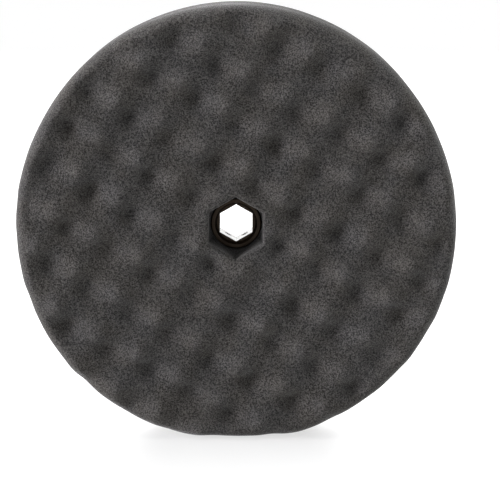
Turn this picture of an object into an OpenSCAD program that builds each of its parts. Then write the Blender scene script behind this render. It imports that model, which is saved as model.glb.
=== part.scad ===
// Double-sided foam polishing pad with a quick-connect hub.
//
// Two foam discs are bonded back to back over a stiff backing plate. Two
// moulded hub halves clamp the plate between their flanges and are riveted
// together through it. A hexagonal socket runs right through the hub, and
// each foam disc is open in front of it.
//
// The pad's axis runs along Y and its front face looks toward -Y. It stands
// on the stretch of its rim that its own weight has flattened. The origin is
// the middle of the hub.

/* [Foam discs] */
// Diameter across the foam
pad_d = 203.2; // [190:0.1:230]
// Thickness of one foam disc, from its adhesive film to its outer face
foam_t = 25.4; // [20:0.1:32]
// Rounding radius of the outer edge of each face
edge_r = 4; // [1:0.5:8]
// Across flats of the hexagonal opening in the foam
opening_af = 25; // [24.5:0.1:28]
// How far the rim is pressed in where the pad stands on it
rest_depth = 3; // [1:0.5:5]

/* [Backing plate and adhesive] */
// Diameter of the stiff plate between the foam discs
plate_d = 152; // [120:1:170]
// Thickness of the plate
plate_t = 2.4; // [1.6:0.1:4]
// Thickness of every adhesive film
film_t = 0.4; // [0.2:0.1:0.8]
// How far the adhesive at the rim stays back from the foam's surface
film_inset = 1; // [0.5:0.1:3]

/* [Hub] */
// Across flats of the socket, which takes a 15 mm hexagonal spindle
socket_af = 15.1; // [14.8:0.1:16]
// Length of the hub between its two end faces
hub_len = 18; // [16:0.5:24]
// Diameter of the round boss that stands in the foam's opening
boss_d = 22.9; // [22:0.1:23.5]
// Diameter of the flanges that clamp the backing plate
flange_d = 64; // [58:1:80]
// Thickness of each flange
flange_t = 3; // [2.5:0.1:4]
// Diameter of the snap groove round the middle of the socket
groove_d = 15.6; // [15.3:0.1:17]
// Width of the snap groove, half of it in each hub half
groove_w = 5; // [3:0.5:7]
// Diameter of the lead-in recess at the mouth of the socket
lead_d = 19.6; // [19:0.1:20.4]
// Depth of the lead-in recess
lead_depth = 2.2; // [0.4:0.1:3]

/* [Rivets] */
// Number of rivets round the flanges
rivet_count = 6; // [4:1:8]
// Diameter of the circle that the rivets stand on
rivet_circle_d = 46; // [40:1:48]
// Diameter of a rivet's shank
rivet_d = 4; // [3:0.1:4.5]
// Diameter of a rivet's head
head_d = 7.4; // [6.5:0.1:8]
// Height of a rivet's head
head_t = 1.4; // [1:0.1:1.6]

/* [Hidden] */
$fn = 128;

// Distances from the mid-plane, out along the axis
plate_face = plate_t / 2;
flange_face = plate_face + flange_t;
hub_face = hub_len / 2;
pad_face = plate_face + film_t + foam_t;

pad_r = pad_d / 2;
plate_r = plate_d / 2;
flange_r = flange_d / 2;
boss_r = boss_d / 2;
groove_r = groove_d / 2;

// Free play between pieces that slip together
play = 0.1;
// Roundings of the hub's edges and of the plate's edge
hub_round = 0.25;
plate_round = 0.5;
// The fillet at the boss's root just fits in the foam's opening
root_round = (opening_af - boss_d) / 2 - play;
// The lead-in cone ends just outside the socket's corners
lead_floor_r = socket_af / 2 / cos(30) + play;
// A rivet's heads sit below the flange faces, in counterbores
counterbore_r = head_d / 2 + 2 * play;
counterbore_depth = head_t + 2 * play;
// The far head is rolled over round a shallow dimple
dimple_r = rivet_d / 4;
dimple_depth = head_t / 2;
// Overshoot that keeps cuts clear of the faces they cut through
cut = 1;

// ---- Placing ------------------------------------------------------------

// Turns a piece drawn along +Z so that +Z becomes the front of the pad
module facing_front() {
    rotate([90, 0, 0])
        children();
}

module facing_rear() {
    mirror([0, 1, 0])
        facing_front()
            children();
}

// Puts a copy at each rivet's place
module at_rivets() {
    for (i = [0 : rivet_count - 1])
        rotate([0, 0, (i + 0.5) * 360 / rivet_count])
            translate([rivet_circle_d / 2, 0, 0])
                children();
}

// ---- Shared shapes ------------------------------------------------------

// Hexagonal prism across the given flats, with a corner at the top of the pad
module hex_prism(across_flats, from, to) {
    translate([0, 0, from])
        rotate([0, 0, 30])
            cylinder(h = to - from, r = across_flats / 2 / cos(30), $fn = 6);
}

// Takes the flattened stretch off a round piece, `inset` above the surface
// that the pad stands on
module flattened(inset = 0) {
    floor_y = pad_r - rest_depth - inset;
    difference() {
        children();
        translate([-pad_r, -floor_y - pad_r, -pad_face - cut])
            cube([pad_d, pad_r, 2 * (pad_face + cut)]);
    }
}

// What lies outside a rounded corner whose tip is at the origin, with the
// piece toward -X and -Y of it
module outside_round(radius) {
    difference() {
        translate([-radius, -radius])
            square(radius + cut);
        translate([-radius, -radius])
            circle(r = radius);
    }
}

// ---- Foam and adhesive --------------------------------------------------

// Half section of what a foam disc is bonded over: the plate, the flange and
// a cover of the given thickness on both
module core_section(cover, side_play) {
    square([plate_r + side_play, plate_face + cover]);
    square([flange_r + cover, flange_face + cover]);
}

module foam_disc() {
    color([0.23, 0.23, 0.24])
        flattened()
            difference() {
                rotate_extrude()
                    difference() {
                        translate([0, film_t / 2])
                            square([pad_r, pad_face - film_t / 2]);
                        core_section(cover = film_t, side_play = play);
                        translate([pad_r, pad_face])
                            outside_round(edge_r);
                    }
                hex_prism(opening_af, 0, pad_face + cut);
            }
}

module adhesive_film() {
    color([0.78, 0.72, 0.55])
        difference() {
            rotate_extrude()
                difference() {
                    core_section(cover = film_t, side_play = 0);
                    core_section(cover = 0, side_play = cut);
                }
            hex_prism(opening_af, 0, pad_face);
        }
}

module front_foam_disc() {
    facing_front()
        foam_disc();
}

module rear_foam_disc() {
    facing_rear()
        foam_disc();
}

module front_adhesive_film() {
    facing_front()
        adhesive_film();
}

module rear_adhesive_film() {
    facing_rear()
        adhesive_film();
}

// Bonds the two foam discs to each other outside the backing plate
module rim_adhesive_ring() {
    color([0.78, 0.72, 0.55])
        facing_front()
            flattened(inset = film_inset)
                difference() {
                    cylinder(h = film_t, r = pad_r - film_inset, center = true);
                    cylinder(h = film_t + cut, r = plate_r + film_inset, center = true);
                }
}

// ---- Backing plate ------------------------------------------------------

module backing_plate() {
    color([0.34, 0.35, 0.36])
        facing_front()
            difference() {
                rotate_extrude()
                    difference() {
                        translate([0, -plate_face])
                            square([plate_r, plate_t]);
                        translate([plate_r, plate_face])
                            outside_round(plate_round);
                        mirror([0, 1])
                            translate([plate_r, plate_face])
                                outside_round(plate_round);
                    }
                cylinder(h = plate_t + cut, r = boss_r + play, center = true);
                at_rivets()
                    cylinder(h = plate_t + cut, r = rivet_d / 2 + play, center = true);
            }
}

// ---- Hub ----------------------------------------------------------------

// Half section of one hub half, from the mid-plane out to its end face
module hub_section() {
    difference() {
        union() {
            square([boss_r, hub_face]);
            translate([0, plate_face])
                square([flange_r, flange_t]);
            translate([boss_r, flange_face])
                difference() {
                    square(root_round);
                    translate([root_round, root_round])
                        circle(r = root_round);
                }
        }
        translate([boss_r, hub_face])
            outside_round(hub_round);
        translate([flange_r, flange_face])
            outside_round(hub_round);
        // Snap groove
        translate([0, -cut])
            square([groove_r, groove_w / 2 + cut]);
        // Lead-in recess with a sloping side
        polygon([
            [0, hub_face - lead_depth],
            [lead_floor_r, hub_face - lead_depth],
            [lead_d / 2, hub_face],
            [lead_d / 2, hub_face + cut],
            [0, hub_face + cut],
        ]);
    }
}

module hub_half() {
    color([0.08, 0.08, 0.08])
        difference() {
            rotate_extrude()
                hub_section();
            hex_prism(socket_af, -cut, hub_face + cut);
            at_rivets() {
                cylinder(h = flange_face + cut, r = rivet_d / 2 + play);
                translate([0, 0, flange_face - counterbore_depth])
                    cylinder(h = counterbore_depth + cut, r = counterbore_r);
            }
        }
}

module front_hub_half() {
    facing_front()
        hub_half();
}

module rear_hub_half() {
    facing_rear()
        hub_half();
}

// ---- Rivets -------------------------------------------------------------

// Domed head that sits on z = 0
module domed_head() {
    head_r = head_d / 2;
    dome_r = (head_r * head_r + head_t * head_t) / (2 * head_t);
    rotate_extrude()
        intersection() {
            translate([0, head_t - dome_r])
                circle(r = dome_r);
            square([head_r, head_t]);
        }
}

module rolled_head() {
    difference() {
        domed_head();
        translate([0, 0, head_t - dimple_depth])
            cylinder(h = dimple_depth + cut, r = dimple_r);
    }
}

module rivet() {
    seat = flange_face - counterbore_depth;
    cylinder(h = 2 * seat, r = rivet_d / 2, center = true);
    translate([0, 0, seat])
        domed_head();
    mirror([0, 0, 1])
        translate([0, 0, seat])
            rolled_head();
}

module hub_rivets() {
    color([0.75, 0.76, 0.78])
        facing_front()
            at_rivets()
                rivet();
}

front_foam_disc();
rear_foam_disc();
rim_adhesive_ring();
front_adhesive_film();
rear_adhesive_film();
backing_plate();
front_hub_half();
rear_hub_half();
hub_rivets();
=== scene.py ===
"""A double-sided foam polishing pad, standing on its rim on a plain white floor.

The two foam discs are rebuilt here as convoluted foam. The hub, rivets, plate and
adhesive keep their CAD shapes and get their materials. The pad's axis runs along Y,
its front looks toward -Y, and lengths are in metres.
"""

import math

import bpy
import numpy as np
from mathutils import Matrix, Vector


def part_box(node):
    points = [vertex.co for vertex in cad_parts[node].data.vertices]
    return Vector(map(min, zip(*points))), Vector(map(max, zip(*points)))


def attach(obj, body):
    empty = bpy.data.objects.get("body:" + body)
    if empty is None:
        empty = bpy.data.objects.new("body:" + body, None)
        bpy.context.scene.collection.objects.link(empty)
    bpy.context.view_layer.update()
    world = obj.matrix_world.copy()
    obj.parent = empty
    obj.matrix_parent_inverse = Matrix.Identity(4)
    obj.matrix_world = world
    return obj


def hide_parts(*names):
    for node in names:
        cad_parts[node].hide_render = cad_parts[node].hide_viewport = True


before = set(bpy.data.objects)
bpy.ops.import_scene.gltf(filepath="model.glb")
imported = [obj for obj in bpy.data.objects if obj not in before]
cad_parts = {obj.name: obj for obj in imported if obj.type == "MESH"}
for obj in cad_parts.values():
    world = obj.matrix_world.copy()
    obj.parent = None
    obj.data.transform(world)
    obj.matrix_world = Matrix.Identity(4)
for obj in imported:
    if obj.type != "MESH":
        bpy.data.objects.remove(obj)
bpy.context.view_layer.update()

MM = 0.001

# ---- Sizes taken from the frame -----------------------------------------

foam_low, foam_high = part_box("front_foam_disc")
film_low, film_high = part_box("front_adhesive_film")
bond_low, bond_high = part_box("rim_adhesive_ring")
hub_low, hub_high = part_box("front_hub_half")
_, plate_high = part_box("backing_plate")

PAD_R = foam_high.x
FLOOR_Z = foam_low.z
# The foam's pockets over the plate and the flange leave room for the glue
GLUE = bond_high.y - bond_low.y
PLAY = 0.1 * MM
PLATE_R = plate_high.x + PLAY
FLANGE_R = hub_high.x + GLUE
# Distances from the mid-plane, out along the axis
FACE_Y = -foam_low.y
BOND_Y = -foam_high.y
PLATE_COVER_Y = GLUE - film_high.y
FLANGE_COVER_Y = -film_low.y
HUB_FACE_Y = -hub_low.y

# ---- Sizes of the foam's own shape --------------------------------------

OPENING_AF = 24.8 * MM
LIP_ROUND = 1.8 * MM
# The wall of the opening closes in on the hub's round boss
WALL_FOOT_R = 12 * MM
# The outer edge is rounded over this much of the face and of the rim
EDGE_IN = 5.5 * MM
EDGE_BACK = 10 * MM
# Slow swells in the rim's radius, with the angle in radians from one to the next
RIM_WOBBLE = 0.12 * MM
RIM_SWELL = 0.9
# Rounding of the rim's edge at the bond
BACK_ROUND = 0.8 * MM
# Width of the ring of faces on the back that runs round the plate's pocket
BACK_RING = 12 * MM
# Depth of the smooth foam round the opening, below the highest knobs
LIP_DEPTH = 2.4 * MM
# The relief fades out toward the opening, and by a share of itself toward the rim
FADE_WIDTH = 9 * MM
RIM_FADE = 0.55
# Foam up to this height above the foot of the rim gives under the pad's weight
PRESSED_HEIGHT = 16 * MM
# How softly the rim leaves the floor, and the sinking that makes the middle lie flat
PRESSED_ROUND = 1.2 * MM
PRESSED_SINK = 0.1 * PRESSED_ROUND
# Widening of the pressed foam, as a share of its shortening
PRESSED_BULGE = 0.6


def unit(degrees):
    """Direction in the plane of the face, as (x, z)."""
    return np.array([math.cos(math.radians(degrees)), math.sin(math.radians(degrees))])


class Waves:
    """Smooth random field over a plane, made from sines of about one wavelength."""

    def __init__(self, seed, wavelength):
        count = 12
        draw = np.random.default_rng(seed)
        turns = draw.uniform(0, 2 * math.pi, count)
        lengths = wavelength * draw.uniform(0.7, 1.4, count)
        self.k = 2 * math.pi / lengths * np.array([np.cos(turns), np.sin(turns)])
        self.phase = draw.uniform(0, 2 * math.pi, count)
        self.scale = math.sqrt(2 / count)

    def __call__(self, a, b):
        """Value at each point: 0 on average, and mostly between -2 and 2."""
        angle = a[..., None] * self.k[0] + b[..., None] * self.k[1] + self.phase
        return self.scale * np.sin(angle).sum(-1)


class Convolution:
    """Relief of one convoluted face: pits and knobs on the same slanted lattice.

    ROWS gives the direction in degrees and the pitch of the lattice's two sets of rows,
    KNOB the step from each pit to its knob, and pit the place of one of the pits.
    """

    ROWS = ((150.3, 21.8 * MM), (60.3, 19.9 * MM))
    KNOB = (15.3 * MM, -3.3 * MM)
    PIT_DEPTH = 4.0 * MM
    PIT_SHARPNESS = 1.5
    KNOB_HEIGHT = 3.3 * MM
    KNOB_SHARPNESS = 1.6
    # Unevenness of the places, and of the depths and heights as a share
    WANDER = 0.7 * MM
    WANDER_LENGTH = 45 * MM
    UNEVEN = 0.15
    UNEVEN_LENGTH = 30 * MM

    def __init__(self, seed, pit):
        self.pit = pit
        self.shift_x = Waves(seed, self.WANDER_LENGTH)
        self.shift_z = Waves(seed + 1, self.WANDER_LENGTH)
        self.pit_strength = Waves(seed + 2, self.UNEVEN_LENGTH)
        self.knob_strength = Waves(seed + 3, self.UNEVEN_LENGTH)

    def spots(self, x, z, sharpness):
        """1 at each point of the lattice through the origin, falling smoothly to 0."""
        product = 1
        for degrees, pitch in self.ROWS:
            across = unit(degrees)
            steps = (x * across[0] + z * across[1]) / pitch
            product = product * (1 + np.cos(2 * math.pi * steps)) / 2
        return product**sharpness

    def __call__(self, x, z):
        """Depth below the plane of the highest knobs."""
        px = x - self.pit[0] + self.WANDER * self.shift_x(x, z)
        pz = z - self.pit[1] + self.WANDER * self.shift_z(x, z)
        pits = self.spots(px, pz, self.PIT_SHARPNESS)
        pits = pits * (1 + self.UNEVEN * self.pit_strength(x, z))
        knobs = self.spots(px - self.KNOB[0], pz - self.KNOB[1], self.KNOB_SHARPNESS)
        knobs = knobs * (1 + self.UNEVEN * self.knob_strength(x, z))
        return self.KNOB_HEIGHT * (1 - knobs) + self.PIT_DEPTH * pits


# ---- Foam disc ----------------------------------------------------------

# Divisions of the foam's mesh
AROUND = 384
ACROSS_FACE = 84
DOWN_RIM = 8
UP_WALL = 24


def add_to_scene(name, data):
    """A new object of the given mesh, light or camera."""
    thing = bpy.data.objects.new(name, data)
    bpy.context.scene.collection.objects.link(thing)
    return thing


def smooth_step(t):
    """Rises from 0 to 1 with level ends."""
    t = np.clip(t, 0, 1)
    return t * t * (3 - 2 * t)


def hexagon_radius(turn, across_flats):
    """Distance from the axis to a hexagon with a corner at the top."""
    sixth = math.pi / 3
    off_flat = np.abs((turn + sixth / 2) % sixth - sixth / 2)
    return across_flats / 2 / np.cos(off_flat)


def quarter(count):
    """Angles of a rounded corner, without its two ends."""
    return [math.pi / 2 * (i + 1) / (count + 1) for i in range(count)]


def foam_stations(turn, relief):
    """Section of the foam at each angle: (radius, distance from the mid-plane) pairs.

    It runs once round the section: out across the face from the opening's lip, round
    the outer edge, down the rim, in along the back over the plate and the flange, and
    up the wall of the opening.
    """
    hole = hexagon_radius(turn, OPENING_AF)
    swells = Waves(seed=5, wavelength=RIM_SWELL)
    rim = PAD_R + RIM_WOBBLE * swells(turn, np.zeros_like(turn))
    cos, sin = np.cos(turn), np.sin(turn)

    def face(radius):
        fade = smooth_step((radius - hole) / FADE_WIDTH)
        fade = fade * (1 - RIM_FADE * smooth_step((radius - rim + FADE_WIDTH) / FADE_WIDTH))
        return FACE_Y - LIP_DEPTH - (relief(radius * cos, radius * sin) - LIP_DEPTH) * fade

    ring = []
    # Lip of the opening
    inner = hole + LIP_ROUND
    for a in [0, *quarter(3)]:
        radius = inner - LIP_ROUND * math.cos(a)
        ring.append((radius, face(radius) - LIP_ROUND * (1 - math.sin(a))))
    # Face
    outer = rim - EDGE_IN
    for i in range(ACROSS_FACE + 1):
        radius = inner + (outer - inner) * i / ACROSS_FACE
        ring.append((radius, face(radius)))
    # Outer edge
    for a in [*quarter(11), math.pi / 2]:
        radius = outer + EDGE_IN * math.sin(a)
        ring.append((radius, face(radius) - EDGE_BACK * (1 - math.cos(a))))
    # Rim
    rim_top = ring[-1][1]
    rim_foot = BOND_Y + BACK_ROUND
    for i in range(1, DOWN_RIM + 1):
        ring.append((rim, rim_top + (rim_foot - rim_top) * i / DOWN_RIM))
    for a in [*quarter(2), math.pi / 2]:
        radius = rim - BACK_ROUND * (1 - math.cos(a))
        ring.append((radius, rim_foot - BACK_ROUND * math.sin(a)))
    # Back, stepped over the plate and the flange
    ring += [
        (PLATE_R + BACK_RING, BOND_Y),
        (PLATE_R, BOND_Y),
        (PLATE_R, PLATE_COVER_Y),
        ((PLATE_R + FLANGE_R) / 2, PLATE_COVER_Y),
        (FLANGE_R, PLATE_COVER_Y),
        (FLANGE_R, FLANGE_COVER_Y),
    ]
    # Wall of the opening, which closes in most near the hub's face and stays so below it
    wall_top = face(hole) - LIP_ROUND
    for i in range(UP_WALL):
        y = FLANGE_COVER_Y + (wall_top - FLANGE_COVER_Y) * i / UP_WALL
        closing = np.clip((wall_top - y) / (wall_top - HUB_FACE_Y), 0, 1) ** 4
        ring.append((hole + (WALL_FOOT_R - hole) * closing, y))
    return ring


def press_on_floor(x, y, z):
    """Presses in the foam under the pad's weight: it shortens near the floor and bulges."""
    start = PRESSED_HEIGHT - PAD_R
    # Height of the round rim below each point, level where its sides grow steep
    foot = -np.sqrt(np.maximum(PAD_R**2 - x**2, (0.5 * PAD_R) ** 2))
    # Height above the floor that this part of the rim ends up at
    lift = PRESSED_ROUND * np.log1p(np.exp((foot - FLOOR_Z) / PRESSED_ROUND)) - PRESSED_SINK
    keep = np.clip((start - FLOOR_Z - lift) / np.maximum(start - foot, MM), 0, 1)
    below = np.minimum(z - start, 0)
    share = smooth_step(-below / PRESSED_HEIGHT) * (1 - keep)
    return x, y * (1 + PRESSED_BULGE * share), np.maximum(z + below * (keep - 1), FLOOR_Z)


def make_foam(name, facing, relief):
    """A closed mesh of one foam disc. facing is -1 for the front disc and 1 for the rear."""
    turn = 2 * math.pi * np.arange(AROUND) / AROUND
    ring = foam_stations(turn, relief)
    radius = np.array([np.broadcast_to(r, AROUND) for r, _ in ring])
    height = np.array([np.broadcast_to(h, AROUND) for _, h in ring])
    x, y, z = press_on_floor(radius * np.cos(turn), facing * height, radius * np.sin(turn))
    points = np.stack([x, y, z], -1).reshape(-1, 3)
    rows = len(ring)
    faces = []
    for j in range(rows):
        here, after = j * AROUND, (j + 1) % rows * AROUND
        for i in range(AROUND):
            i_next = (i + 1) % AROUND
            quad = [here + i, after + i, after + i_next, here + i_next]
            faces.append(quad if facing > 0 else quad[::-1])
    mesh = bpy.data.meshes.new(name)
    mesh.from_pydata(points.tolist(), [], faces)
    mesh.validate()
    mesh.shade_smooth()
    return add_to_scene(name, mesh)


# ---- Materials ----------------------------------------------------------


class Nodes:
    """Short way to write a material's node tree."""

    def __init__(self, name):
        self.material = bpy.data.materials.new(name)
        self.material.use_nodes = True
        self.tree = self.material.node_tree
        self.shader = self.tree.nodes["Principled BSDF"]
        self.place = self.add("ShaderNodeTexCoord").outputs["Object"]

    def add(self, kind, **values):
        node = self.tree.nodes.new(kind)
        for key, value in values.items():
            setattr(node, key, value)
        return node

    def link(self, out, socket):
        self.tree.links.new(out, socket)

    def noise(self, scale, detail=3.0, rough=0.55):
        node = self.add("ShaderNodeTexNoise")
        node.inputs["Scale"].default_value = scale
        node.inputs["Detail"].default_value = detail
        node.inputs["Roughness"].default_value = rough
        self.link(self.place, node.inputs["Vector"])
        return node.outputs["Fac"]

    def cells(self, scale):
        node = self.add("ShaderNodeTexVoronoi")
        node.inputs["Scale"].default_value = scale
        self.link(self.place, node.inputs["Vector"])
        return node.outputs["Distance"]

    def ramp(self, value, low, high, to_low=0.0, to_high=1.0):
        node = self.add("ShaderNodeMapRange")
        for key, number in (
            ("From Min", low),
            ("From Max", high),
            ("To Min", to_low),
            ("To Max", to_high),
        ):
            node.inputs[key].default_value = number
        self.link(value, node.inputs["Value"])
        return node.outputs["Result"]

    def math(self, operation, a, b):
        node = self.add("ShaderNodeMath", operation=operation)
        for socket, value in zip(node.inputs, (a, b)):
            if isinstance(value, (int, float)):
                socket.default_value = value
            else:
                self.link(value, socket)
        return node.outputs["Value"]

    def mix(self, share, a, b):
        node = self.add("ShaderNodeMix", data_type="RGBA")
        self.link(share, node.inputs["Factor"])
        for socket, value in ((node.inputs[6], a), (node.inputs[7], b)):
            if isinstance(value, tuple):
                socket.default_value = (*value, 1)
            else:
                self.link(value, socket)
        return node.outputs[2]

    def bump(self, height, distance):
        node = self.add("ShaderNodeBump")
        node.inputs["Distance"].default_value = distance
        self.link(height, node.inputs["Height"])
        self.link(node.outputs["Normal"], self.shader.inputs["Normal"])

    def color(self, share, a, b):
        """Base colour, from a to b."""
        self.link(self.mix(share, a, b), self.shader.inputs["Base Color"])

    def roughness(self, value, low, high):
        """Roughness, from low to high over the middle of a noise's range."""
        self.link(self.ramp(value, 0.3, 0.7, low, high), self.shader.inputs["Roughness"])

    def set(self, **values):
        """Uniform values, by the shader's own names with _ for each space."""
        for key, value in values.items():
            self.shader.inputs[key.replace("_", " ")].default_value = value


def foam_material():
    """Dark grey open-cell foam: fine pores, speckle and a little fuzz."""
    n = Nodes("convoluted_foam")
    grain = n.noise(1450, detail=2, rough=0.9)
    warmth = n.ramp(n.noise(60, detail=4, rough=0.6), 0.38, 0.62)
    speckle = n.ramp(grain, 0.405, 0.625)
    dark = n.mix(warmth, (0.0106, 0.0102, 0.0104), (0.0120, 0.0103, 0.0093))
    light = n.mix(warmth, (0.0792, 0.0767, 0.0744), (0.0806, 0.0767, 0.0711))
    n.color(speckle, dark, light)
    n.roughness(grain, 0.88, 1.0)
    n.bump(n.math("ADD", n.cells(1300), grain), 0.2 * MM)
    n.set(Sheen_Weight=0.2, Sheen_Roughness=0.3, Specular_IOR_Level=0.2)
    return n.material


def hub_material():
    """Glossy moulded plastic, nearly black with a brown sheen, and faint flow marks."""
    n = Nodes("hub_plastic")
    flow = n.noise(260, detail=3)
    n.color(n.ramp(flow, 0.35, 0.7), (0.0180, 0.0125, 0.0085), (0.0240, 0.0170, 0.0118))
    n.roughness(flow, 0.16, 0.26)
    n.bump(n.noise(1500, detail=2), 0.02 * MM)
    n.set(Specular_IOR_Level=0.2, Specular_Tint=(1, 0.8, 0.62, 1))
    return n.material


def adhesive_material():
    """Cured adhesive, slightly cloudy."""
    n = Nodes("cured_adhesive")
    cloud = n.noise(150)
    n.color(n.ramp(cloud, 0.3, 0.7), (0.20, 0.16, 0.09), (0.36, 0.31, 0.20))
    n.roughness(cloud, 0.35, 0.6)
    n.bump(n.noise(700), 0.1 * MM)
    return n.material


def plate_material():
    """Fibre-filled plastic sheet."""
    n = Nodes("plate_plastic")
    fibres = n.noise(500, detail=5, rough=0.7)
    n.color(n.ramp(fibres, 0.35, 0.65), (0.06, 0.063, 0.067), (0.13, 0.135, 0.14))
    n.roughness(fibres, 0.5, 0.75)
    n.bump(fibres, 0.05 * MM)
    return n.material


def rivet_material():
    """Aluminium with fine forming marks."""
    n = Nodes("rivet_aluminium")
    marks = n.noise(1200, detail=4, rough=0.7)
    n.color(n.ramp(marks, 0.3, 0.7), (0.50, 0.51, 0.53), (0.66, 0.67, 0.69))
    n.roughness(marks, 0.28, 0.45)
    n.bump(marks, 0.02 * MM)
    n.set(Metallic=1.0)
    return n.material


def paint_node(name, material):
    """Gives a CAD node its material and leaves its shape alone."""
    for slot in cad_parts[name].material_slots:
        slot.material = material


# ---- Object -------------------------------------------------------------

foam = foam_material()
for name, node, facing, relief in (
    ("front_foam", "front_foam_disc", -1, Convolution(seed=11, pit=(-0.9 * MM, 2.8 * MM))),
    ("rear_foam", "rear_foam_disc", 1, Convolution(seed=31, pit=(5.0 * MM, -4.0 * MM))),
):
    piece = make_foam(name, facing, relief)
    piece.data.materials.append(foam)
    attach(piece, "root")
    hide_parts(node)

hub_plastic = hub_material()
adhesive = adhesive_material()
for name, material in (
    ("front_hub_half", hub_plastic),
    ("rear_hub_half", hub_plastic),
    ("front_adhesive_film", adhesive),
    ("rear_adhesive_film", adhesive),
    ("rim_adhesive_ring", adhesive),
    ("backing_plate", plate_material()),
    ("hub_rivets", rivet_material()),
):
    paint_node(name, material)

# ---- Floor, light and camera --------------------------------------------


def make_floor():
    """Plain floor that glows, so that it comes out white up to the pad's shadow."""
    reach = 12.0
    mesh = bpy.data.meshes.new("floor")
    corners = [(sx * reach, sy * reach, FLOOR_Z) for sx, sy in ((-1, -1), (1, -1), (1, 1), (-1, 1))]
    mesh.from_pydata(corners, [], [(0, 1, 2, 3)])
    n = Nodes("white_floor")
    n.set(Base_Color=(0.24, 0.24, 0.24, 1), Roughness=0.35)
    n.set(Emission_Color=(1, 1, 1, 1), Emission_Strength=0.65)
    mesh.materials.append(n.material)
    add_to_scene("floor", mesh)


def make_world():
    """White surroundings: full strength where they are seen, a tenth of it as a light."""
    world = bpy.data.worlds.new("studio")
    bpy.context.scene.world = world
    world.use_nodes = True
    tree = world.node_tree
    background = tree.nodes["Background"]
    background.inputs["Color"].default_value = (1, 1, 1, 1)
    path = tree.nodes.new("ShaderNodeLightPath")
    strength = tree.nodes.new("ShaderNodeMapRange")
    strength.inputs["To Min"].default_value = 0.1
    strength.inputs["To Max"].default_value = 1.0
    tree.links.new(path.outputs["Is Camera Ray"], strength.inputs["Value"])
    tree.links.new(strength.outputs["Result"], background.inputs["Strength"])


def lamp_rotation(toward):
    """Turns a lamp so that its light comes from the given direction."""
    return (-Vector(toward)).to_track_quat("-Z", "Y").to_euler()


def make_backdrop():
    """Broad soft light behind the pad, which the flats of the socket reflect."""
    light = bpy.data.lights.new("backdrop", "AREA")
    light.shape = "RECTANGLE"
    light.size = 4
    light.size_y = 1.8
    light.energy = 65
    lamp = add_to_scene("backdrop", light)
    lamp.location = (0, 2.4, 0.95)
    lamp.rotation_euler = lamp_rotation((0, 1, 0))


def sun_light(name, toward, power, width, tint=(1, 1, 1)):
    """Soft light from far away; width is how wide it looks, in degrees."""
    light = bpy.data.lights.new(name, "SUN")
    light.energy = power
    light.angle = math.radians(width)
    light.color = tint
    lamp = add_to_scene(name, light)
    lamp.rotation_euler = lamp_rotation(toward)


def make_camera():
    """Looks a little down on the pad's front, from nearly straight ahead."""
    elevation = math.radians(9)
    turn = math.radians(0.7)
    distance = 0.95
    camera = bpy.data.cameras.new("camera")
    camera.sensor_width = 36
    camera.lens = 146
    camera.shift_x = 0.0274
    camera.shift_y = -0.059
    camera.clip_start = 0.01
    camera.clip_end = 100
    eye = add_to_scene("camera", camera)
    ground = distance * math.cos(elevation)
    height = distance * math.sin(elevation)
    eye.location = (ground * math.sin(turn), -ground * math.cos(turn), height)
    eye.rotation_euler = (math.pi / 2 - elevation, 0, turn)
    bpy.context.scene.camera = eye


make_floor()
make_world()
make_backdrop()
sun_light("overhead", (0.15, 0.1, 1), 3.7, width=30)
sun_light("left", (-1, -0.2, 0.02), 12.5, width=44, tint=(1, 0.98, 1.02))
sun_light("right", (1.3, -0.2, 0.1), 2.2, width=36)
sun_light("front", (-0.1, -0.6, 0.7), 0.6, width=40)
make_camera()
bpy.context.scene.view_settings.view_transform = "Standard"
